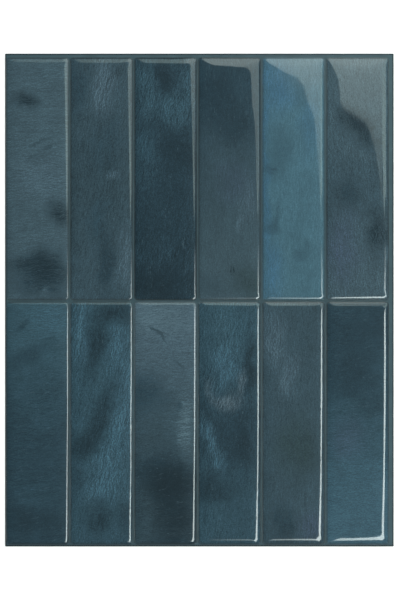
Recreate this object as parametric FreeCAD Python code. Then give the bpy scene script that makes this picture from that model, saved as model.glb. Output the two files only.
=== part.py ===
import FreeCAD, Part
import math
import os

# A peel-and-stick backsplash sheet, lying face up on its release liner.
#
# It is a thin grout-coloured backing sheet with a pressure-sensitive adhesive on its underside.
# A release liner covers that adhesive and is peeled off before the sheet goes on the wall.
# Slim domed resin tiles stand on the face in straight rows, one tile above the other.
# Each tile is a puddle of resin that has set: a thin lip round its foot, where the resin
# stopped, and inside it a shoulder that rises at the contact angle and levels out.
#
# X runs to the right of the face and Y towards its top edge, and Z comes out of the face.
# The origin is the centre of the sheet's outline, on the underside of the liner. Millimetres.

# Layout of the face
columns = 6
rows = 2
tile_width = 37.08
tile_length = 143.28
joint_width = 0.68  # bare sheet between the feet of two neighbours

# Bare sheet outside the outermost tiles. The right margin is the strip that the next
# sheet's left edge lies on, so the left margin is next to nothing.
margin_left = 0.52
margin_right = 2.76
margin_top = 2.29
margin_bottom = 1.17

# Sheet and liner
liner_thickness = 0.12
sheet_thickness = 0.45
sheet_edge_chamfer = 0.15  # the cutting die presses the face down along its edge
sheet_corner_radius = 0.4

# Lip round the foot of each tile
lip_height = 0.15
lip_width = 0.5
lip_corner_radius = 2.25
lip_edge_chamfer = 0.1

# Dome of each tile. The slope is the tangent of the contact angle where the resin ends, halfway
# across the lip, and falls off evenly in proportion from there, as the rim of a still puddle does.
contact_angle = 20.8
falloff_length = 3.02  # way in from the resin's end on which the slope falls to 37 per cent
cap_width = 15.0  # middle of the crown, taken as flat because the slope there is under 0.7 degrees

# The height contours follow the lip's corners at the foot and open out further in.
foot_corner_radius = 2.0
open_corner_radius = 5.8
corner_opening = 2.0  # inset on which 63 per cent of that change is made

# Contours that the dome is lofted through, its foot and the edge of the cap counted.
# Straight runs between them stay within 0.015 mm of the curve.
dome_contours = 6


def rounded_rectangle(width, length, radius, height):
    """A wire round the origin, made of four straight sides and four corner arcs."""
    across = width / 2 - radius
    along = length / 2 - radius
    middle = radius * math.sqrt(0.5)
    edges = []
    for turn, centre_x, centre_y in ((0, across, along), (1, -across, along),
                                     (2, -across, -along), (3, across, -along)):
        turned = FreeCAD.Rotation(FreeCAD.Vector(0, 0, 1), 90 * turn)
        centre = FreeCAD.Vector(centre_x, centre_y, height)
        start = centre + turned.multVec(FreeCAD.Vector(radius, 0, 0))
        halfway = centre + turned.multVec(FreeCAD.Vector(middle, middle, 0))
        end = centre + turned.multVec(FreeCAD.Vector(0, radius, 0))
        if edges:
            edges.append(Part.LineSegment(edges[-1].Vertexes[-1].Point, start).toShape())
        edges.append(Part.Arc(start, halfway, end).toShape())
    last_side = Part.LineSegment(edges[-1].Vertexes[-1].Point, edges[0].Vertexes[0].Point)
    edges.append(last_side.toShape())
    return Part.Wire(edges)


def slab(width, length, radius, thickness):
    """A flat piece with rounded corners, standing on the plane Z = 0."""
    outline = rounded_rectangle(width, length, radius, 0)
    return Part.Face(outline).extrude(FreeCAD.Vector(0, 0, thickness))


def edges_at(solid, height):
    """The edges of a solid that lie wholly at one height."""
    near = 1e-6
    return [edge for edge in solid.Edges
            if abs(edge.BoundBox.ZMin - height) < near and abs(edge.BoundBox.ZMax - height) < near]


def rise(inset):
    """Height of the dome above the lip, at an inset from the tile's outline."""
    start = lip_width / 2
    steepest = math.tan(math.radians(contact_angle)) * falloff_length
    return steepest * (math.exp(-start / falloff_length) - math.exp((start - inset) / falloff_length))


def insets(first, last, count):
    """Insets that lie wider apart as the dome levels out, so that each straight run strays as little."""
    steps = []
    for step in range(count):
        share = step / (count - 1)
        steps.append(-2 * falloff_length * math.log((1 - share) * math.exp(-first / 2 / falloff_length)
                                                    + share * math.exp(-last / 2 / falloff_length)))
    return steps


def corner_radius(inset):
    """Corner radius of the height contour at an inset from the tile's outline."""
    opened = 1 - math.exp(-(inset - lip_width) / corner_opening)
    return foot_corner_radius + (open_corner_radius - foot_corner_radius) * opened


def dome():
    """The resin above the lip, lofted through its height contours from the foot to the cap."""
    contours = []
    for inset in insets(lip_width, (tile_width - cap_width) / 2, dome_contours):
        width = tile_width - 2 * inset
        length = tile_length - 2 * inset
        contours.append(rounded_rectangle(width, length, corner_radius(inset), lip_height + rise(inset)))
    solid, ruled = True, True
    return Part.makeLoft(contours, solid, ruled)


def tile():
    """One resin tile round the origin, with the underside of its lip at Z = 0."""
    lip = slab(tile_width, tile_length, lip_corner_radius, lip_height)
    lip = lip.makeChamfer(lip_edge_chamfer, edges_at(lip, lip_height))
    return lip.fuse(dome())


def backing_sheet(width, length):
    """The printed sheet, with its cut edge pressed down along the face."""
    sheet = slab(width, length, sheet_corner_radius, sheet_thickness)
    sheet = sheet.makeChamfer(sheet_edge_chamfer, edges_at(sheet, sheet_thickness))
    sheet.translate(FreeCAD.Vector(0, 0, liner_thickness))
    return sheet


def export(shape, node):
    """Writes one piece after making sure that it is a single sound solid."""
    solids = shape.Solids
    assert len(solids) == 1 and shape.isValid(), node
    solids[0].exportStep(f"parts/{node}.step")
    print(f"{node}: {solids[0].Volume:.1f} mm3, {len(solids[0].Faces)} faces")


def build():
    """Makes every piece and puts each in a file of its own."""
    os.makedirs("parts", exist_ok=True)
    pitch_x = tile_width + joint_width
    pitch_y = tile_length + joint_width
    sheet_width = margin_left + columns * pitch_x - joint_width + margin_right
    sheet_length = margin_bottom + rows * pitch_y - joint_width + margin_top
    sheet_face = liner_thickness + sheet_thickness

    export(slab(sheet_width, sheet_length, sheet_corner_radius, liner_thickness), "release_liner")
    export(backing_sheet(sheet_width, sheet_length), "backing_sheet")

    first_x = margin_left + tile_width / 2 - sheet_width / 2
    first_y = sheet_length / 2 - margin_top - tile_length / 2
    master = tile()
    for row in range(rows):
        for column in range(columns):
            placed = master.copy()
            placed.translate(FreeCAD.Vector(first_x + column * pitch_x,
                                            first_y - row * pitch_y, sheet_face))
            export(placed, f"tile_row{row + 1}_column{column + 1}")


build()
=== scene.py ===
# %% [markdown]
# # A peel-and-stick backsplash sheet, face up
#
# The sheet is a thin printed film with twelve slim tiles of clear resin poured on it. The packed
# CAD model gives every place and size here, and this script only dresses it: rounder tiles with
# the waviness that poured resin has, a hand-brushed glaze under the resin, a grout-coloured film
# and a paper liner. The real thing could be modelled tile by tile, but one tile shaped with care
# and copied to its twelve places is quicker to make and to mend, and the small differences
# between the tiles can come from noise that reads where each copy lies.

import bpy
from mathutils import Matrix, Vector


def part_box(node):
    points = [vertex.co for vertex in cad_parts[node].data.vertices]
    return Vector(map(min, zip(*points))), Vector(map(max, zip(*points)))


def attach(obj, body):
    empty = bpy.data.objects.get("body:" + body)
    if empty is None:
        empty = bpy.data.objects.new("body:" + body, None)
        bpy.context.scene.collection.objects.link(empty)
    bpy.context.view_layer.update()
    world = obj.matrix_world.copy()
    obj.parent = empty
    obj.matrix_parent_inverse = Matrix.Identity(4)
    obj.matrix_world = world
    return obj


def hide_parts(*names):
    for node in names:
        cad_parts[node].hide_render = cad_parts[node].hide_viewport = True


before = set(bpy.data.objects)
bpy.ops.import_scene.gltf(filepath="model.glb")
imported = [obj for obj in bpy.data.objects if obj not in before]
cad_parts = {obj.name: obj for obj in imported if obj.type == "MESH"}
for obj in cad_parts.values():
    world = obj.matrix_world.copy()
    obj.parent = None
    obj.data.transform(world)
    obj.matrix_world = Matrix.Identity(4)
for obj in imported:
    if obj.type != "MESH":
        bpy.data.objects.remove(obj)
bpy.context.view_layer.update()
print(len(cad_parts), "CAD nodes")

# %% Units and the CAD sizes
import math
from collections import namedtuple

import bmesh
import bpy

MM = 0.001
sheet_low, sheet_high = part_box("backing_sheet")
first_low, first_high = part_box("tile_row1_column1")
tile_width = first_high.x - first_low.x
tile_length = first_high.y - first_low.y
sheet_face = sheet_high.z
tile_nodes = sorted(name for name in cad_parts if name.startswith("tile_"))
print(f"{len(tile_nodes)} tiles of {tile_width / MM:.2f} x {tile_length / MM:.2f} mm,",
      f"{(first_high.z - sheet_face) / MM:.2f} mm high")

# %% [markdown]
# ## The camera
#
# The sheet was photographed square on. It lies flat here, so the camera hangs straight above it
# with +Y up in the picture. A lens could be found by trial, but it follows from two numbers: how
# far away the camera is, and how many millimetres one picture line covers on the sheet.

# %% Camera above the sheet
camera_height = 1.2
mm_per_line = 0.59
picture_lines = 600
aim_x = 0.35 * MM
aim_y = 0.03 * MM
camera_data = bpy.data.cameras.new("camera")
camera_data.lens = camera_data.sensor_width * camera_height / (picture_lines * mm_per_line * MM)
camera = bpy.data.objects.new("camera", camera_data)
camera.location = (aim_x, aim_y, camera_height)
bpy.context.scene.collection.objects.link(camera)
bpy.context.scene.camera = camera
print(f"lens {camera_data.lens:.1f} mm")

# %% [markdown]
# ## The floor and the light
#
# A glossy dark tile shows its light as much as its colour. A bright window low on the right draws
# the thin white line down the right and lower edges of the tiles. A dimmer one above it draws the
# paler lines along their tops and down the right edges of the upper row, and a pane beside the
# sheet greys the upper right corners. Lamps with a round or square shape could stand in for them,
# but the outline of a window is what the tiles mirror, so each is a flat card with that outline.
# The nearer a card hangs, the more its mirror image differs from one tile to the next. The pane
# hangs nearest, so that it is a wide field on the rightmost tile and narrows on its neighbours.
# The room's walls are a ring low in the world, dim on the left and bright on the right, and the
# ceiling is dark, so that the crowns stay deep in colour. A broad soft lamp, which the resin does
# not mirror, lights the print together with the cards.

# %% Helpers for node trees
def add_node(tree, kind, settings=None, **values):
    """A shader node with its settings and inputs; an input is a value or a socket to link."""
    made = tree.nodes.new(kind)
    for name, value in (settings or {}).items():
        setattr(made, name, value)
    for name, value in values.items():
        key = int(name[1:]) if name[1:].isdigit() else name.replace("_", " ")
        if isinstance(value, bpy.types.NodeSocket):
            tree.links.new(value, made.inputs[key])
        else:
            made.inputs[key].default_value = value
    return made


def split(tree, vector):
    """The X, Y and Z of a vector, to be read by name."""
    return add_node(tree, "ShaderNodeSeparateXYZ", Vector=vector).outputs


def ramp(tree, value, start, end, low=0.0, high=1.0, smooth=False):
    """Maps a value from one range to another and holds it there; a smooth ramp eases in and out."""
    kind = {"interpolation_type": "SMOOTHSTEP"} if smooth else {}
    return add_node(tree, "ShaderNodeMapRange", kind, Value=value, From_Min=start, From_Max=end,
                    To_Min=low, To_Max=high).outputs["Result"]


# %% World: dark ceiling, walls that are brighter towards the right
ceiling_light = 0.13
left_wall_light = 0.15
right_wall_light = 1.3
wall_reach = 0.7
ceiling_start = 0.35
ceiling_full = 0.75
world = bpy.data.worlds.new("room")
bpy.context.scene.world = world
world.use_nodes = True
tree = world.node_tree
tree.nodes.clear()
direction = split(tree, add_node(tree, "ShaderNodeTexCoord").outputs["Generated"])
walls = ramp(tree, direction["X"], -wall_reach, wall_reach, left_wall_light, right_wall_light)
level = ramp(tree, direction["Z"], ceiling_start, ceiling_full, walls, ceiling_light, smooth=True)
background = add_node(tree, "ShaderNodeBackground", Strength=level)
add_node(tree, "ShaderNodeOutputWorld", Surface=background.outputs["Background"])
print(f"room: walls from {left_wall_light} to {right_wall_light}, ceiling {ceiling_light}")

# %% Helpers for materials
def number_math(tree, operation, first, second):
    """A number worked out from two others."""
    return add_node(tree, "ShaderNodeMath", {"operation": operation}, _0=first, _1=second).outputs[0]


def empty_material(name):
    """A material with nothing but its output node."""
    material = bpy.data.materials.new(name)
    material.use_nodes = True
    material.node_tree.nodes.clear()
    return material, material.node_tree, material.node_tree.nodes.new("ShaderNodeOutputMaterial")


# %% A window-shaped card
def light_card(name, height, outline, strength, tint, shades=()):
    """A flat glowing card over the sheet; its outline is in shares of its height.

    A shade is an axis and the two shares on it between which the glow climbs from nothing to full."""
    mesh = bpy.data.meshes.new(name)
    corners = [(x * height, y * height, height) for x, y in outline]
    mesh.from_pydata(corners, [], [list(range(len(corners)))])
    card = bpy.data.objects.new(name, mesh)
    bpy.context.scene.collection.objects.link(card)
    card.visible_camera = False
    material, card_tree, output = empty_material(name)
    sides = split(card_tree, add_node(card_tree, "ShaderNodeTexCoord").outputs["Object"])
    level = strength
    for axis, start, full in shades:
        climb = ramp(card_tree, sides[axis], start * height, full * height)
        level = number_math(card_tree, "MULTIPLY", climb, level)
    glow = add_node(card_tree, "ShaderNodeEmission", Color=(*tint, 1.0), Strength=level)
    card_tree.links.new(glow.outputs["Emission"], output.inputs["Surface"])
    mesh.materials.append(material)
    print(f"{name}: {len(corners)} corners, {height} m above the sheet")


# %% Outlines of the cards
far = 3.0
middling = 1.5
near = 0.35
bright_window = [(0.53, 0.10), (0.485, -0.06), (0.47, -0.12), (0.44, -0.16), (0.36, -0.21),
                 (0.28, -0.265), (0.205, -0.33), (0.16, -0.41), (0.125, -0.47), (0.08, -0.51),
                 (-0.06, -0.515), (-0.06, -0.60), (0.14, -0.58), (0.20, -0.53), (0.25, -0.46),
                 (0.30, -0.39), (0.37, -0.31), (0.44, -0.24), (0.53, -0.16), (0.60, -0.09), (0.62, 0.10)]
light_card("bright_window", middling, bright_window, 13.5, (0.88, 1.0, 0.98),
           shades=(("X", 0.0, 0.18), ("Y", 0.055, -0.02)))
dim_window = [(-0.25, 0.85), (-0.21, 0.62), (-0.12, 0.50), (-0.02, 0.44), (0.03, 0.38), (0.14, 0.36),
              (0.20, 0.30), (0.235, 0.20), (0.25, 0.165), (0.30, 0.14), (0.36, 0.10), (0.43, 0.069),
              (0.60, 0.045), (0.60, 0.85)]
light_card("dim_window", far, dim_window, 2.9, (0.80, 1.0, 0.92), shades=(("X", -0.25, 0.06),))
side_pane = [(-0.03, 0.766), (0.04, 0.69), (0.10, 0.62), (0.15, 0.565), (0.185, 0.53), (0.215, 0.50),
             (0.24, 0.46), (0.262, 0.425), (0.32, 0.408), (0.369, 0.385), (0.42, 0.34), (0.486, 0.286),
             (0.54, 0.251), (0.62, 0.20), (0.62, 1.35), (-0.03, 1.35)]
light_card("side_pane", near, side_pane, 3.5, (0.87, 1.0, 0.94), shades=(("Y", 0.08, 0.75),))

# %% Soft lamp
lamp_height = 3.0
lamp_data = bpy.data.lights.new("soft_lamp", "AREA")
lamp_data.size = 3.0
lamp_data.energy = 18.0
lamp = bpy.data.objects.new("soft_lamp", lamp_data)
lamp.location = (0, 0, lamp_height)
lamp.visible_glossy = False
bpy.context.scene.collection.objects.link(lamp)
print(f"soft lamp: {lamp_data.energy:.0f} W, {lamp_data.size:.0f} m wide")

# %% Floor
floor_size = 6.0
floor_drop = 0.2 * MM
floor_white = (0.93, 0.93, 0.93, 1.0)
floor_glow = 0.4
bpy.ops.object.select_all(action="DESELECT")
bpy.ops.mesh.primitive_plane_add(size=floor_size, location=(0, 0, -floor_drop))
floor = bpy.context.object
floor.name = "floor"
material, tree, output = empty_material("floor_paint")
seen = add_node(tree, "ShaderNodeLightPath")
paint = add_node(tree, "ShaderNodeBsdfDiffuse", Color=floor_white)
glow = add_node(tree, "ShaderNodeEmission", Strength=floor_glow)
lit = add_node(tree, "ShaderNodeAddShader", _0=paint.outputs[0], _1=glow.outputs[0])
choice = add_node(tree, "ShaderNodeMixShader", _0=seen.outputs["Is Camera Ray"],
                  _1=paint.outputs[0], _2=lit.outputs[0])
tree.links.new(choice.outputs[0], output.inputs["Surface"])
floor.data.materials.append(material)
print(f"floor: {floor_size:.0f} m wide, {floor_drop / MM:.1f} mm below the liner")

# %% [markdown]
# ## One poured tile
#
# The resin is poured on the print and creeps to the edge of it, where surface tension stops it.
# What sets is a thin bead round the foot and a shoulder that is steepest at the bead and levels
# out towards the middle. A cube with a bevel would have too round an edge and too flat a middle,
# and a sculpted one would take long to get even. Rings of edges, each a rounded rectangle at its
# own inset and height, and bridged one to the next, give exactly the wanted section.

# %% Section of the resin
bead_width = 0.5 * MM
bead_height = 0.15 * MM
bead_wall = 0.04 * MM
crease_height = 0.11 * MM
contact_slope = math.tan(math.radians(20.8))
falloff_length = 3.02 * MM
foot_radius = 2.25 * MM
crest_radius = 2.0 * MM
open_radius = 5.8 * MM
radius_opening = 4.0 * MM
shoulder_width = 6.0 * MM
ridge_width = 0.5 * MM
least_straight = 0.05 * MM
bead_turns = range(0, 151, 25)
shoulder_rings = 20
shoulder_crowding = 1.3
crown_rings = 10


def rise(inset):
    """Height of the resin over the crease inside the bead."""
    past = inset - bead_width / 2
    start = math.exp(-bead_width / 2 / falloff_length)
    return contact_slope * falloff_length * (start - math.exp(-past / falloff_length))


def ring_radius(inset):
    """Corner radius of a ring: it follows the bead first and opens out on the shoulder."""
    if inset <= bead_width:
        return foot_radius + (crest_radius - foot_radius) * inset / bead_width
    opening = 1 - math.exp(-((inset - bead_width) / radius_opening) ** 3)
    opened = crest_radius + (open_radius - crest_radius) * opening
    return min(opened, tile_width / 2 - inset - least_straight)


def section():
    """Inset and height of every ring, from the foot over the bead and up to the ridge."""
    rings = [(0.0, 0.0)]
    for degrees in bead_turns:
        angle = math.radians(degrees)
        inset = bead_width / 2 * (1 - math.cos(angle))
        rings.append((inset, bead_wall + (bead_height - bead_wall) * math.sin(angle)))
    for step in range(shoulder_rings):
        share = step / (shoulder_rings - 1)
        inset = bead_width + shoulder_width * share ** shoulder_crowding
        rings.append((inset, crease_height + rise(inset)))
    crown_width = (tile_width - ridge_width) / 2 - bead_width - shoulder_width
    for step in range(1, crown_rings + 1):
        inset = bead_width + shoulder_width + crown_width * step / crown_rings
        rings.append((inset, crease_height + rise(inset)))
    return rings


rings = section()
print(f"{len(rings)} rings, the last {rings[-1][1] / MM:.3f} mm above the sheet")

# %% Drawing one ring
corner_segments = 10
cuts_along = 90
cuts_across = 22
tile_smoothing = math.radians(60)
hair = 0.0001 * MM


def mark_new(mesh, number):
    """Notes on each new vertex which ring it belongs to."""
    edit = bmesh.from_edit_mesh(mesh)
    layer = edit.verts.layers.int.get("ring") or edit.verts.layers.int.new("ring")
    for vertex in edit.verts:
        if vertex[layer] == 0:
            vertex[layer] = number
    bmesh.update_edit_mesh(mesh)


def cut_sides(mesh, axis, cuts):
    """Divides the new ring's straight sides that run along one axis."""
    edit = bmesh.from_edit_mesh(mesh)
    layer = edit.verts.layers.int["ring"]
    for edge in edit.edges:
        first, second = edge.verts
        step = second.co - first.co
        straight = abs(step[1 - axis]) < hair and abs(step[axis]) > hair
        edge.select_set(straight and first[layer] == 0 and second[layer] == 0)
    bmesh.update_edit_mesh(mesh)
    bpy.ops.mesh.subdivide(number_cuts=cuts)


def draw_ring(mesh, centre, number, inset, height):
    """Adds a rounded rectangle of edges at one inset and height, in edit mode."""
    place = (centre.x, centre.y, sheet_face + height)
    bpy.ops.mesh.select_all(action="DESELECT")
    bpy.ops.mesh.primitive_plane_add(size=1, location=place)
    size = (tile_width - 2 * inset, tile_length - 2 * inset, 1)
    bpy.ops.transform.resize(value=size, center_override=place)
    bpy.ops.mesh.bevel(offset=ring_radius(inset), affect="VERTICES", segments=corner_segments, profile=0.5)
    bpy.ops.mesh.delete(type="ONLY_FACE")
    cut_sides(mesh, 0, cuts_across)
    cut_sides(mesh, 1, cuts_along)
    mark_new(mesh, number)


# %% Bridging the rings
def select_rings(mesh, numbers):
    """Selects the edges that lie within the given rings."""
    edit = bmesh.from_edit_mesh(mesh)
    layer = edit.verts.layers.int["ring"]
    for edge in edit.edges:
        first, second = edge.verts
        edge.select_set(first[layer] == second[layer] and first[layer] in numbers)
    bmesh.update_edit_mesh(mesh)


def pour_tile(name, centre):
    """The master tile: rings, bridged, and closed below and along the ridge."""
    mesh = bpy.data.meshes.new(name)
    tile = bpy.data.objects.new(name, mesh)
    bpy.context.scene.collection.objects.link(tile)
    bpy.ops.object.select_all(action="DESELECT")
    bpy.context.view_layer.objects.active = tile
    tile.select_set(True)
    bpy.ops.object.mode_set(mode="EDIT")
    bpy.context.tool_settings.mesh_select_mode = (False, True, False)
    edit = bmesh.from_edit_mesh(mesh)
    edit.verts.layers.int.new("ring")
    bmesh.update_edit_mesh(mesh)
    for number, (inset, height) in enumerate(rings, start=1):
        draw_ring(mesh, centre, number, inset, height)
    for number in range(1, len(rings)):
        select_rings(mesh, (number, number + 1))
        bpy.ops.mesh.bridge_edge_loops()
    for number in (1, len(rings)):
        select_rings(mesh, (number,))
        bpy.ops.mesh.edge_face_add()
    bpy.ops.mesh.select_all(action="SELECT")
    bpy.ops.mesh.normals_make_consistent(inside=False)
    bpy.ops.object.mode_set(mode="OBJECT")
    bpy.ops.object.shade_smooth_by_angle(angle=tile_smoothing)
    return tile


first_centre = (first_low + first_high) / 2
master = pour_tile("poured_" + tile_nodes[0], first_centre)
print(f"master: {len(master.data.vertices)} vertices, {len(master.data.polygons)} faces")

# %% [markdown]
# ## Twelve tiles, none quite flat
#
# Poured resin never levels out fully, so every tile mirrors the room a little differently. Each
# copy gets its own mesh, moved to its place, and then the same displacement. Its noise reads
# the place of the vertex in the sheet, so no two tiles come out alike. A bump in the
# material could fake it, but a real displacement also shows in the outline and in the export.

# %% Noise for the waviness
def wave_texture(name, size, depth):
    """Soft cloud noise whose features are about that large."""
    texture = bpy.data.textures.new(name, "CLOUDS")
    texture.noise_scale = size
    texture.noise_depth = depth
    return texture


waves = wave_texture("waves", 26 * MM, 0)
wave_height = 0.045 * MM
waves_from = 0.2 * MM
waves_full = 0.7 * MM
print(f"waves: {wave_height / MM:.3f} mm high at most, {waves.noise_scale / MM:.0f} mm long")


# %% Waves on the dome alone
def weigh_dome(tile):
    """A vertex group that leaves the bead alone and takes hold over the shoulder."""
    group = tile.vertex_groups.new(name="dome")
    for vertex in tile.data.vertices:
        height = vertex.co.z - sheet_face
        weight = min(1.0, max(0.0, (height - waves_from) / (waves_full - waves_from)))
        group.add([vertex.index], weight, "REPLACE")


def add_waves(tile, texture, height):
    """Lowers the dome by the noise at each vertex's place, and applies it.

    A mid level of 1 makes the noise push down only, so that the tile keeps within its CAD height."""
    wave = tile.modifiers.new("wave", "DISPLACE")
    wave.texture = texture
    wave.texture_coords = "LOCAL"
    wave.direction = "Z"
    wave.mid_level = 1.0
    wave.strength = height
    wave.vertex_group = "dome"
    bpy.context.view_layer.objects.active = tile
    bpy.ops.object.modifier_apply(modifier=wave.name)


# %% Copying the tile to its twelve places
tiles = {tile_nodes[0]: master}
for name in tile_nodes[1:]:
    low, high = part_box(name)
    bpy.ops.object.select_all(action="DESELECT")
    master.select_set(True)
    bpy.context.view_layer.objects.active = master
    bpy.ops.object.duplicate(linked=False)
    copy = bpy.context.object
    copy.name = "poured_" + name
    copy.data.name = copy.name
    bpy.ops.transform.translate(value=(low + high) / 2 - (first_low + first_high) / 2)
    bpy.ops.object.transform_apply(location=True, rotation=True, scale=True)
    tiles[name] = copy

for name, tile in tiles.items():
    weigh_dome(tile)
    add_waves(tile, waves, wave_height)
    tile.vertex_groups.clear()
    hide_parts(name)
    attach(tile, "root")
print(f"{sum(len(tile.data.polygons) for tile in tiles.values())} faces on the tiles")

# %% [markdown]
# ## Glaze under the resin
#
# The print imitates a brushed, clouded stoneware glaze: a slate or teal ground that drifts in
# tone, fine brush strokes in one direction, and a few smudges that are darker or paler. A
# photograph could be pasted on, but a pattern of nodes stays sharp at any size. Each tile gets
# its own material from one recipe, and its smudges are placed one by one, in millimetres from the
# tile's centre. All of it lies under a clear coat, which does the mirroring.

# %% What a glaze is made of
Smudge = namedtuple("Smudge", "x y across along turn tone strength")
Look = namedtuple("Look", "top middle bottom stroke_turn stroke_depth smudges")
Strokes = namedtuple("Strokes", "along across detail roughness distortion")


# %% Colours
def colour(red, green, blue):
    """A colour given as on a screen, 0 to 255, made linear for the shaders."""
    linear = []
    for value in (red, green, blue):
        share = value / 255
        linear.append(share / 12.92 if share <= 0.04045 else ((share + 0.055) / 1.055) ** 2.4)
    return (*linear, 1.0)


def mix_colours(tree, share, first, second):
    """Blends two colours by a share."""
    blend = add_node(tree, "ShaderNodeMix", {"data_type": "RGBA"}, _0=share)
    for key, value in ((6, first), (7, second)):
        if isinstance(value, bpy.types.NodeSocket):
            tree.links.new(value, blend.inputs[key])
        else:
            blend.inputs[key].default_value = value
    return blend.outputs[2]


# %% Places
def vector_math(tree, operation, first, second=None, scale=None):
    """A vector worked out from one or two others, or from one and a factor."""
    values = {"_0": first}
    if second is not None:
        values["_1"] = second
    if scale is not None:
        values["Scale"] = scale
    return add_node(tree, "ShaderNodeVectorMath", {"operation": operation}, **values).outputs[0]


def place_in_mm(tree):
    """The place in millimetres, counted from the part's origin."""
    where = add_node(tree, "ShaderNodeTexCoord")
    return vector_math(tree, "SCALE", where.outputs["Object"], scale=1 / MM)


def inset_from_sides(tree, place, width, length):
    """How far inside a rectangle round the origin a place is, in the units of the place."""
    folded = vector_math(tree, "ABSOLUTE", place)
    inside = split(tree, vector_math(tree, "SUBTRACT", (width / 2, length / 2, 0), folded))
    return number_math(tree, "MINIMUM", inside["X"], inside["Y"])


# %% Places pushed about and drawn out
def moved_by(tree, place, mover, distance):
    """A place pushed about by the colour of a noise, by up to half that distance each way."""
    centred = vector_math(tree, "SUBTRACT", mover.outputs["Color"], (0.5, 0.5, 0.5))
    pushed = vector_math(tree, "SCALE", centred, scale=distance)
    return vector_math(tree, "ADD", place, pushed)


def stretched(tree, place, turn, along, across):
    """A place turned and scaled, so that noise on it becomes strokes in that direction."""
    turned = add_node(tree, "ShaderNodeVectorRotate", {"rotation_type": "Z_AXIS"},
                      Vector=place, Angle=math.radians(-turn))
    return vector_math(tree, "MULTIPLY", turned.outputs[0], (along, across, along))


# %% Noise and its range
def noise(tree, place, scale, detail=2.0, roughness=0.5, distortion=0.0):
    """Noise with features of about one over the scale, in the units of the place."""
    return add_node(tree, "ShaderNodeTexNoise", Vector=place, Scale=scale, Detail=detail,
                    Roughness=roughness, Distortion=distortion)


def spread(tree, value, low, high, start=0.3, end=0.7):
    """Maps the middle of a noise to a range of values."""
    return ramp(tree, value, start, end, low, high)


def swing(tree, value, reach, start=0.3, end=0.7):
    """A factor that swings round 1 by the reach, as a noise goes from low to high."""
    return spread(tree, value, 1 - reach, 1 + reach, start, end)


def product(tree, *values):
    """Product of several values."""
    result = values[0]
    for value in values[1:]:
        result = number_math(tree, "MULTIPLY", result, value)
    return result


# %% Brush strokes
def stroke_noise(tree, place, turn, kind, shift=0.0):
    """Noise drawn out along one direction, and moved across it by a shift in its own units."""
    drawn = stretched(tree, place, turn, kind.along, kind.across)
    if shift:
        drawn = vector_math(tree, "ADD", drawn, (0.0, shift, 0.0))
    return noise(tree, drawn, 1.0, kind.detail, kind.roughness, kind.distortion).outputs["Fac"]


def relief(tree, place, turn, kind, shift):
    """Pale and dark sides of the ridges between strokes, as if they were lit from one side."""
    here = stroke_noise(tree, place, turn, kind)
    beside = stroke_noise(tree, place, turn, kind, shift)
    return number_math(tree, "SUBTRACT", here, beside)


# %% Smudges
smudge_core = 0.1
smudge_end = 1.9


def smudge_share(tree, place, smudge):
    """How much of a smudge shows at each place: an ellipse with a soft edge."""
    moved = vector_math(tree, "SUBTRACT", place, (smudge.x, smudge.y, 0))
    scaled = stretched(tree, moved, smudge.turn, 1 / smudge.across, 1 / smudge.along)
    distance = add_node(tree, "ShaderNodeVectorMath", {"operation": "LENGTH"}, _0=scaled)
    return ramp(tree, distance.outputs["Value"], smudge_core, smudge_end, smudge.strength, 0.0, smooth=True)


# %% [markdown]
# ### The glaze recipe
#
# Lengths are in millimetres. Strokes are noise with so many features a millimetre along and
# across the brush. A weight says how strongly a layer darkens and lightens the print, for each
# unit of a tile's stroke depth. A tear says how strongly it breaks the smudges up, and the spill
# how far the broad strokes strengthen them.

# %% Numbers of the recipe
sway_size = 14.0
sway_reach = 11.0
stroke_sway = 4.0
ruffle_size = 2.2
ruffle_reach = 3.0
tone_reach = 60.0
tone_overlap = 5.0

broad_strokes = Strokes(0.07, 0.4, 4.0, 0.6, 0.5)
fine_strokes = Strokes(0.35, 1.3, 3.0, 0.75, 0.8)
ridge_strokes = Strokes(0.22, 0.7, 3.0, 0.6, 1.1)
scratch_strokes = Strokes(0.16, 1.6, 1.0, 0.5, 1.2)
ripple_strokes = Strokes(0.16, 0.45, 3.0, 0.6, 0.6)
ridge_shift = 0.25
ridge_range = 0.15
scratch_turn = 12
scratch_strength = 0.5
scratch_crest = (0.64, 0.70)
scratch_patch = (0.45, 0.65)

cloud_dark = 0.97
cloud_pale = 1.23
cloud_scale = 0.07
mottle_scale = 0.5
grain_scale = 1.6
ridge_weight = 1.7
mottle_weight = 0.8
broad_weight = 0.8
fine_weight = 1.5
grain_weight = 2.4
broad_tear = 4.0
broad_spill = 2.0
fine_tear = 3.0
ridge_tear = 5.5


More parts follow.
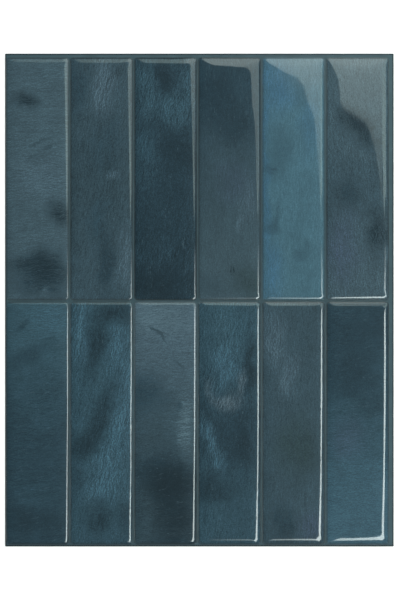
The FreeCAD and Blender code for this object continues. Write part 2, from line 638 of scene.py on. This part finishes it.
# %% Colour of the print
def glaze_colour(tree, ground, centre, look):
    """Colour of the print at a place on the sheet, for the tile round a centre, in millimetres.

    Three tones run from the top of the tile to its bottom. Over them come the smudges, frayed
    along the strokes, then clouds, ridges, mottling, brush strokes and grain, and a few scratches."""
    sway = noise(tree, ground, 1 / sway_size, 2.0)
    ruffle = noise(tree, ground, 1 / ruffle_size, 2.0, 0.6)
    drifted = moved_by(tree, ground, sway, sway_reach)
    place = vector_math(tree, "SUBTRACT", moved_by(tree, drifted, ruffle, ruffle_reach), centre)
    height = split(tree, place)["Y"]
    lower = ramp(tree, height, -tone_reach, tone_overlap, smooth=True)
    upper = ramp(tree, height, -tone_overlap, tone_reach, smooth=True)
    tone = mix_colours(tree, lower, look.bottom, look.middle)
    tone = mix_colours(tree, upper, tone, look.top)

    depth = look.stroke_depth
    swept = moved_by(tree, ground, sway, stroke_sway)
    broad = stroke_noise(tree, swept, look.stroke_turn, broad_strokes)
    fine = stroke_noise(tree, swept, look.stroke_turn, fine_strokes)
    ridges = relief(tree, swept, look.stroke_turn, ridge_strokes, ridge_shift)
    torn = product(tree, spread(tree, broad, 1 - broad_tear * depth, 1 + broad_spill * depth),
                   swing(tree, fine, fine_tear * depth),
                   swing(tree, ridges, ridge_tear * depth, -ridge_range, ridge_range))
    for smudge in look.smudges:
        share = product(tree, smudge_share(tree, place, smudge), torn)
        tone = mix_colours(tree, share, tone, smudge.tone)

    clouds = noise(tree, drifted, cloud_scale, 5.0, 0.62).outputs["Fac"]
    mottle = noise(tree, ground, mottle_scale, 4.0, 0.75, 0.8).outputs["Fac"]
    grain = noise(tree, ground, grain_scale, 2.0, 0.7).outputs["Fac"]
    factor = product(tree, spread(tree, clouds, cloud_dark, cloud_pale),
                     swing(tree, ridges, ridge_weight * depth, -ridge_range, ridge_range),
                     swing(tree, mottle, mottle_weight * depth),
                     swing(tree, broad, broad_weight * depth),
                     swing(tree, fine, fine_weight * depth),
                     swing(tree, grain, grain_weight * depth))
    tone = vector_math(tree, "SCALE", tone, scale=factor)
    scratch = stroke_noise(tree, swept, look.stroke_turn + scratch_turn, scratch_strokes)
    scratches = product(tree, spread(tree, scratch, 0.0, scratch_strength, *scratch_crest),
                        spread(tree, mottle, 0.0, 1.0, *scratch_patch))
    return mix_colours(tree, scratches, tone, frost)


# %% Print and resin in one material
# The lip tone is a painted sheen: a paler grey mixed into the print low on the tile, along the lip.
lip_sheen_tone = colour(128, 146, 150)
lip_sheen_share = 0.08
lip_top = 0.13 * MM
lip_fade = 0.2 * MM
# The crease shade is painted shade: it darkens the print on the lip and in the crease inside it.
crease_shade = 0.52
crease_start = 0.45
crease_end = 1.3
ripple_height = 0.012 * MM


def glaze_material(name, look, middle):
    """Printed glaze under clear resin, for the tile round that middle.

    The print has painted shade on the lip and in the crease inside it, and a painted sheen on the lip.
    The coat has faint ripples along the strokes, which loosen the outlines of what it mirrors."""
    material, tree, output = empty_material(name)
    ground = place_in_mm(tree)
    centre = (middle.x / MM, middle.y / MM, 0)
    tone = glaze_colour(tree, ground, centre, look)
    from_centre = vector_math(tree, "SUBTRACT", ground, centre)
    inset = inset_from_sides(tree, from_centre, tile_width / MM, tile_length / MM)
    # Painted shade: the print is darkened on the lip and in the crease inside it.
    shade = ramp(tree, inset, crease_start, crease_end, crease_shade, 1.0, smooth=True)
    tone = vector_math(tree, "SCALE", tone, scale=shade)
    # Painted sheen: a paler grey is mixed in on the lip and fades out above it.
    lip = ramp(tree, split(tree, ground)["Z"], (sheet_face + lip_top) / MM, (sheet_face + lip_fade) / MM,
               lip_sheen_share, 0.0)
    tone = mix_colours(tree, lip, tone, lip_sheen_tone)
    ripple = stroke_noise(tree, ground, look.stroke_turn, ripple_strokes)
    bump = add_node(tree, "ShaderNodeBump", Height=ripple, Strength=1.0, Distance=ripple_height)
    shader = add_node(tree, "ShaderNodeBsdfPrincipled", Base_Color=tone, Roughness=0.45,
                      Specular_IOR_Level=0.1, Coat_Weight=1.0, Coat_Roughness=0.03,
                      Coat_Normal=bump.outputs[0])
    tree.links.new(shader.outputs[0], output.inputs["Surface"])
    return material


# %% [markdown]
# ### What each tile looks like
#
# A potter would mix a few glazes and use them on every tile, so the tones have names. A tile has
# one for its top, middle and bottom, then the turn of its strokes, 0 for level ones, and their
# depth. A smudge has its centre, half width, half length, turn, tone and strength.

# %% The glazes
ink = colour(26, 44, 53)
night = colour(34, 55, 66)
deep = colour(42, 65, 77)
moss = colour(46, 65, 70)
slate = colour(50, 70, 80)
smoke = colour(57, 78, 89)
ash = colour(67, 88, 99)
haze = colour(77, 98, 111)
frost = colour(92, 115, 127)
petrol = colour(51, 78, 91)
teal = colour(56, 84, 97)
lagoon = colour(65, 96, 112)
steel = colour(72, 106, 121)
cobalt = colour(68, 108, 135)
dusk = colour(66, 82, 101)
clay = colour(88, 105, 116)

# %% Upper row of tiles
looks = {}
looks["tile_row1_column1"] = Look(ash, ash, ash, 3, 0.10, [
    Smudge(1, 1, 14, 12, 0, haze, 0.5),
    Smudge(-6.7, 45.5, 7, 4.5, -8, ink, 0.9),
    Smudge(3, 22, 7, 0.7, 18, slate, 1.0),
    Smudge(7, 19, 6, 0.6, 10, slate, 0.9),
    Smudge(-3, 13, 4, 0.6, 35, slate, 0.8),
    Smudge(13, -20, 6, 6, -30, ink, 0.9),
    Smudge(3, -57, 15, 12, 0, night, 0.95),
    Smudge(5, -53, 7, 9, 20, ink, 0.8),
    Smudge(-7, -51, 8, 5, 0, ink, 0.7),
    Smudge(5, -68, 2.5, 3.5, 0, ash, 1.0)])
looks["tile_row1_column2"] = Look(smoke, slate, smoke, 80, 0.13, [
    Smudge(1, 56, 5, 15, 0, haze, 0.8),
    Smudge(-14, 55, 5, 14, 0, deep, 0.7),
    Smudge(3, 20, 9, 16, -10, deep, 0.5),
    Smudge(7, 1.5, 4, 3, 0, haze, 0.5),
    Smudge(-2, -24, 5, 12, -10, deep, 0.7),
    Smudge(2, -51, 4.5, 16, 0, night, 0.9),
    Smudge(-13, -52, 5, 14, 0, smoke, 0.8),
    Smudge(14, -45, 4, 12, 0, haze, 0.6)])
looks["tile_row1_column3"] = Look(deep, deep, night, 78, 0.15, [
    Smudge(-12, 59, 5.5, 8, 0, teal, 0.8),
    Smudge(7, 41, 8, 10, 8, teal, 1.0),
    Smudge(13, 58, 3, 14, -8, teal, 0.8),
    Smudge(-10, 44, 6, 7, 0, teal, 0.8),
    Smudge(0, 58, 4.5, 9, 0, ink, 0.8),
    Smudge(-10, 16, 6, 8, 20, petrol, 0.9),
    Smudge(8, 16, 10, 12, 15, ink, 0.85),
    Smudge(-12, 2, 5, 6, 0, petrol, 0.7),
    Smudge(4, -12, 16, 26, 0, night, 0.6),
    Smudge(-8, -28, 8, 8, 0, night, 0.9),
    Smudge(0, -44, 15, 8, 0, deep, 0.5),
    Smudge(-4, -63, 12, 7, 0, ink, 0.9)])
looks["tile_row1_column4"] = Look(deep, smoke, ash, 88, 0.09, [
    Smudge(0, -30, 22, 40, 0, moss, 0.2),
    Smudge(-7, 48, 10, 12, 0, night, 0.8),
    Smudge(2, 30, 12, 8, 0, night, 0.7),
    Smudge(4, -3, 10, 10, 0, dusk, 0.35),
    Smudge(7.5, -32, 1.6, 26, 0, haze, 0.6),
    Smudge(11, -12, 4, 12, 0, haze, 0.4),
    Smudge(-0.4, -56, 0.6, 2.5, 0, ink, 1.0),
    Smudge(1.4, -55, 0.5, 2.2, 0, ink, 0.9),
    Smudge(10, -60, 8, 9, 0, moss, 0.8),
    Smudge(-10, -62, 8, 6, 0, slate, 0.6)])
looks["tile_row1_column5"] = Look(steel, steel, steel, 89, 0.08, [
    Smudge(-16.5, 10, 2.2, 62, 0, cobalt, 0.9),
    Smudge(-10, 54, 9, 13, 0, cobalt, 0.8),
    # Painted reflection: this pale frost smudge at the top right brightens where the pane is mirrored.
    Smudge(8, 62, 14, 9, 0, frost, 0.5),
    Smudge(9, 30, 5, 16, 0, cobalt, 0.5),
    Smudge(-7.5, 17, 6, 15, 0, petrol, 0.55),
    Smudge(-14.5, 6, 3.5, 3, 10, deep, 0.7),
    Smudge(-8.5, -20, 1.4, 9, -12, deep, 0.6),
    Smudge(-13, -28, 4, 4, 30, petrol, 0.7),
    Smudge(4.2, -43, 4, 5, -25, petrol, 0.6),
    Smudge(-12, -54, 5, 14, 0, cobalt, 0.7)])
looks["tile_row1_column6"] = Look(ash, smoke, ash, 96, 0.13, [
    Smudge(-3, 34, 11, 6, -16, ink, 0.8),
    Smudge(6, 25, 5, 10, 40, ink, 0.8),
    Smudge(0, 15, 10, 3.5, -24, ash, 0.7),
    Smudge(-6, -9, 6, 8, 0, night, 0.7),
    Smudge(6, -12, 10, 10, 0, deep, 0.15),
    Smudge(11, -31, 5.5, 13, 0, ink, 0.8),
    Smudge(-16, 40, 3, 30, 0, ash, 0.8),
    Smudge(-9, -42, 8, 16, 0, dusk, 0.7)])

# %% Lower row of tiles
looks["tile_row2_column1"] = Look(teal, deep, deep, 3, 0.09, [
    Smudge(-9, 59, 5.5, 1.6, 38, deep, 0.9),
    Smudge(6.4, 50, 3.5, 1.1, 22, night, 0.9),
    Smudge(-6, 39.5, 13, 4, 24, deep, 1.0),
    Smudge(9, 62, 8, 8, 0, lagoon, 0.5),
    Smudge(0, 6, 12, 12, 0, petrol, 0.5),
    Smudge(-3, -40, 12, 8, 0, petrol, 0.35),
    Smudge(-3, -57, 14, 6, 0, ink, 0.5)])
looks["tile_row2_column2"] = Look(petrol, petrol, petrol, 80, 0.15, [
    Smudge(-12.5, 53, 4.5, 14, 0, lagoon, 1.0),
    Smudge(8, 45, 4.5, 12, -6, lagoon, 1.0),
    Smudge(11, 10, 6, 24, -6, lagoon, 1.0),
    Smudge(2, -34, 8, 14, -14, lagoon, 0.9),
    Smudge(-1, 27, 3.5, 10, -22, teal, 0.8),
    Smudge(-2.5, 46, 6, 15, -12, ink, 0.85),
    Smudge(9, 65, 12, 5, 0, ink, 0.8),
    Smudge(-1, 2, 5.5, 21, -22, ink, 0.8),
    Smudge(-10, -15, 7, 8, -40, ink, 0.8),
    Smudge(-14, -32, 5, 10, 0, deep, 0.8),
    Smudge(-1, -57, 7, 10, -10, ink, 0.75),
    Smudge(14, -57, 4, 9, 0, night, 0.9)])
looks["tile_row2_column3"] = Look(haze, smoke, slate, 3, 0.10, [
    Smudge(-6, 62, 14, 8, 0, frost, 0.5),
    Smudge(-5, 52.5, 5, 0.7, -38, slate, 1.0),
    Smudge(-2, 49, 4.5, 0.6, -38, slate, 1.0),
    Smudge(7.4, 35, 3, 0.7, -30, slate, 1.0),
    Smudge(-11, 17, 10, 10, 0, deep, 0.95),
    Smudge(8, 11, 2, 2.5, 0, deep, 0.9),
    Smudge(12.5, -2, 4, 17, 0, frost, 0.55),
    Smudge(-9, -10, 8, 8, 0, slate, 0.5),
    Smudge(0, -29, 16, 11, -10, night, 1.0),
    Smudge(5, -51, 12, 22, 6, ink, 1.0),
    Smudge(2, -37, 14, 10, 0, ink, 1.0),
    Smudge(-13, -56, 4, 14, 0, slate, 0.5)])
looks["tile_row2_column4"] = Look(petrol, deep, petrol, 82, 0.14, [
    Smudge(-2, 54, 7, 12, 0, teal, 1.0),
    Smudge(-2, 35, 7, 11, 0, lagoon, 1.0),
    Smudge(12.5, 34, 3.5, 15, 0, ink, 0.95),
    Smudge(-1.5, 12.5, 7, 4.5, 0, clay, 0.7),
    Smudge(6.5, 24, 2.4, 8, -8, clay, 0.55),
    Smudge(-10.5, 19, 2.6, 6, 20, clay, 0.4),
    Smudge(4, -14, 10, 15, 0, night, 0.9),
    Smudge(9, -10, 4, 12, 0, ink, 0.6),
    Smudge(-10, -15, 3.4, 15, 24, lagoon, 1.0),
    Smudge(-9, -39, 9, 7.5, 0, ink, 0.9),
    Smudge(6, -52, 10, 14, 0, deep, 0.5)])
looks["tile_row2_column5"] = Look(smoke, smoke, smoke, 88, 0.11, [
    Smudge(-11.5, 49, 5.5, 13, 0, haze, 0.9),
    Smudge(-3, 29, 4.5, 11, -10, haze, 0.8),
    Smudge(10, 52, 7, 14, 0, slate, 0.6),
    Smudge(2, -14, 11, 15, 0, moss, 0.9),
    Smudge(-6, -58, 6, 9, 0, night, 0.9),
    Smudge(9, -60, 6, 7, 0, dusk, 0.8)])
looks["tile_row2_column6"] = Look(deep, petrol, lagoon, 2, 0.10, [
    Smudge(-2, 48, 14, 14, 0, night, 0.5),
    Smudge(-4, 26, 14, 11, 0, night, 0.8),
    Smudge(8, 10, 8, 6, 0, night, 0.5),
    Smudge(-6, -9, 8, 10, 0, dusk, 0.5),
    Smudge(-1.5, -48, 14, 18, 0, teal, 0.3)])

# %% Glazing the tiles
for name, tile in tiles.items():
    low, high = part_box(name)
    glaze = glaze_material("glaze_" + name, looks[name], (low + high) / 2)
    tile.data.materials.clear()
    tile.data.materials.append(glaze)
    print(name, "has", len(looks[name].smudges), "smudges")

# %% [markdown]
# ## Backing sheet
#
# The film is printed in the grout's colour and a die cut it out. Painted shade darkens a narrow
# band along its edge. It is a slab, so a cube is a fair start: its four upright edges are rounded
# and then the rim of its face. The grain of the print is too fine to model and goes in the material.

# %% The sheet as a die-cut slab
corner_round = 0.4 * MM
corner_cuts = 5
rim_round = 0.2 * MM
rim_cuts = 4
film_smoothing = math.radians(40)


def select_edges(mesh, wanted):
    """Selects the edges of the mesh in edit mode that pass a test."""
    edit = bmesh.from_edit_mesh(mesh)
    for edge in edit.edges:
        edge.select_set(wanted(edge.verts[0].co, edge.verts[1].co))
    bmesh.update_edit_mesh(mesh)


bpy.ops.object.select_all(action="DESELECT")
sheet_centre = (sheet_low + sheet_high) / 2
bpy.ops.mesh.primitive_cube_add(size=1, location=sheet_centre)
film = bpy.context.object
film.name = "printed_film"
film.data.name = film.name
bpy.ops.transform.resize(value=sheet_high - sheet_low, center_override=sheet_centre)
bpy.ops.object.transform_apply(location=True, rotation=True, scale=True)
bpy.ops.object.mode_set(mode="EDIT")
select_edges(film.data, lambda a, b: abs(a.z - b.z) > hair)
bpy.ops.mesh.bevel(offset=corner_round, segments=corner_cuts, profile=0.5)
select_edges(film.data, lambda a, b: min(a.z, b.z) > sheet_face - hair)
bpy.ops.mesh.bevel(offset=rim_round, segments=rim_cuts, profile=0.5)
bpy.ops.object.mode_set(mode="OBJECT")
bpy.ops.object.shade_smooth_by_angle(angle=film_smoothing)
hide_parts("backing_sheet")
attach(film, "root")
print(f"sheet: {len(film.data.polygons)} faces")

# %% Printed film
# The joint shade is painted shade on the print among the tiles; the margin light is painted light on the
# open top and right margins.
joint_shade = 0.90
margin_painted_light = 1.07
# The edge shade is painted shade: a dark band along the cut edge of the sheet.
edge_shade_width = 0.4
edge_shade_fade = 1.1
grain_swing = 0.07
grout_dark = colour(60, 82, 90)
grout_pale = colour(68, 91, 100)
edge_shade_tone = colour(34, 46, 52)
last_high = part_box("tile_row1_column6")[1]
sheet_size = (sheet_high - sheet_low) / MM
material, tree, output = empty_material("printed_grout")
place = place_in_mm(tree)
from_edge = inset_from_sides(tree, place, sheet_size.x, sheet_size.y)
# Painted shade along the cut edge of the sheet.
edge_shade = ramp(tree, from_edge, edge_shade_width, edge_shade_fade, 1.0, 0.0, smooth=True)
cloud = spread(tree, noise(tree, place, 0.12, 3.0).outputs["Fac"], 0.0, 1.0)
speck = noise(tree, place, 4.0, 2.0, 0.6).outputs["Fac"]
tone = mix_colours(tree, cloud, grout_dark, grout_pale)
tone = mix_colours(tree, edge_shade, tone, edge_shade_tone)
# Painted shade among the tiles and on the left and bottom margins, painted light on the top and right
# margins.
sides = split(tree, place)
beside = number_math(tree, "GREATER_THAN", sides["X"], last_high.x / MM)
above = number_math(tree, "GREATER_THAN", sides["Y"], last_high.y / MM)
margin = number_math(tree, "MAXIMUM", beside, above)
painted_light_and_shade = ramp(tree, margin, 0.0, 1.0, joint_shade, margin_painted_light)
grainy = vector_math(tree, "SCALE", tone, scale=product(tree, swing(tree, speck, grain_swing), painted_light_and_shade))
bump = add_node(tree, "ShaderNodeBump", Height=speck, Strength=0.3, Distance=0.01 * MM)
shader = add_node(tree, "ShaderNodeBsdfPrincipled", Base_Color=grainy, Roughness=0.5,
                  Specular_IOR_Level=0.25, Normal=bump.outputs[0])
tree.links.new(shader.outputs[0], output.inputs["Surface"])
film.data.materials.clear()
film.data.materials.append(material)
print(f"printed grout: {len(tree.nodes)} nodes")

# %% [markdown]
# ## Release liner
#
# Plain siliconed paper, seen from below and as a thin line round the edge. Its CAD solid already
# has the right shape, so it keeps its mesh and only gets a paper finish with faint fibres.

# %% Liner paper
paper_dark = colour(226, 223, 216)
paper_pale = colour(232, 230, 225)
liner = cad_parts["release_liner"]
material, tree, output = empty_material("siliconed_paper")
place = place_in_mm(tree)
fibre_place = vector_math(tree, "MULTIPLY", place, (0.5, 2.2, 1.0))
fibres = noise(tree, fibre_place, 1.0, 4.0, 0.7, 1.5).outputs["Fac"]
mottle = spread(tree, noise(tree, place, 0.05, 3.0).outputs["Fac"], 0.0, 1.0)
tone = mix_colours(tree, mottle, paper_dark, paper_pale)
shaded = vector_math(tree, "SCALE", tone, scale=spread(tree, fibres, 0.97, 1.02))
bump = add_node(tree, "ShaderNodeBump", Height=fibres, Strength=0.25, Distance=0.02 * MM)
shader = add_node(tree, "ShaderNodeBsdfPrincipled", Base_Color=shaded, Roughness=0.4,
                  Normal=bump.outputs[0])
tree.links.new(shader.outputs[0], output.inputs["Surface"])
liner.data.materials.clear()
liner.data.materials.append(material)
print(f"siliconed paper: {len(tree.nodes)} nodes")

# %% View transform
bpy.context.scene.view_settings.view_transform = "Standard"
